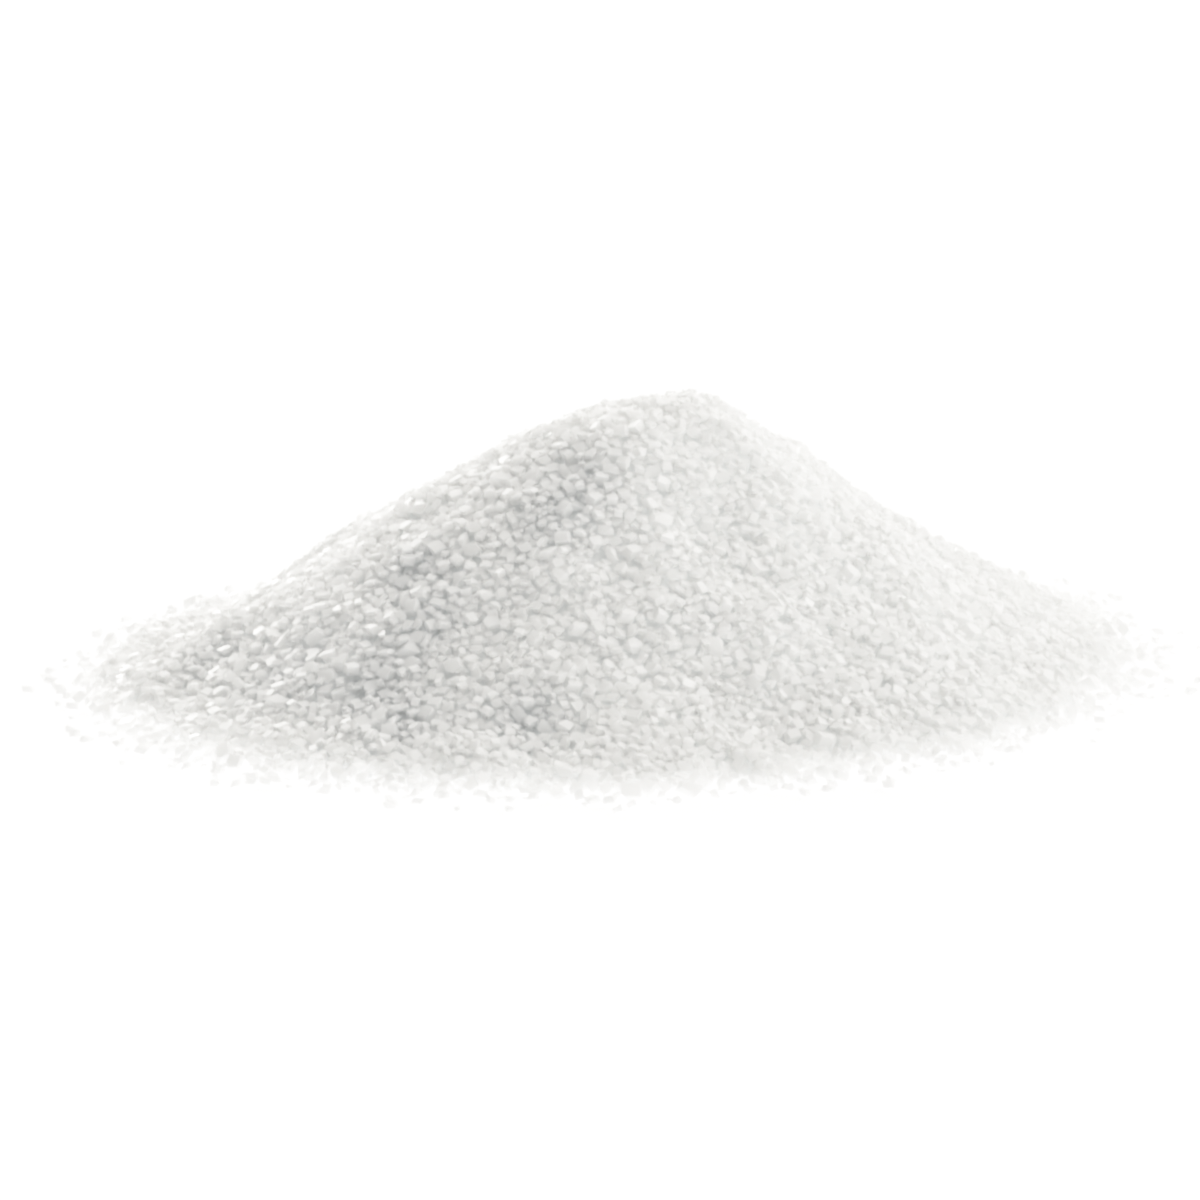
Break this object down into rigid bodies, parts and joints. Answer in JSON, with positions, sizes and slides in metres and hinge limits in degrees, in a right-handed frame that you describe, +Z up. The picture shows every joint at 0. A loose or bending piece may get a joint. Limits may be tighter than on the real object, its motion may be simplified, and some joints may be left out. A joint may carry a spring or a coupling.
{
  "type": "heap of granulated sugar",
  "caption": "Low heap of loose white sugar crystals, lying as poured, with a blunt peak, sloping flanks and a thin uneven foot.",
  "frame": {"origin": "on the surface that the heap lies on, under the middle of its box", "axes": "+Z up, +X to the right and +Y away from the side that the picture shows"},
  "size_m": [0.0544, 0.0588, 0.0145],
  "materials": {
    "sugar": "loose translucent white crystals with small glossy facets"
  },
  "bodies": {
    "root": {"sugar_heap": "sugar"}
  },
  "joints": []
}
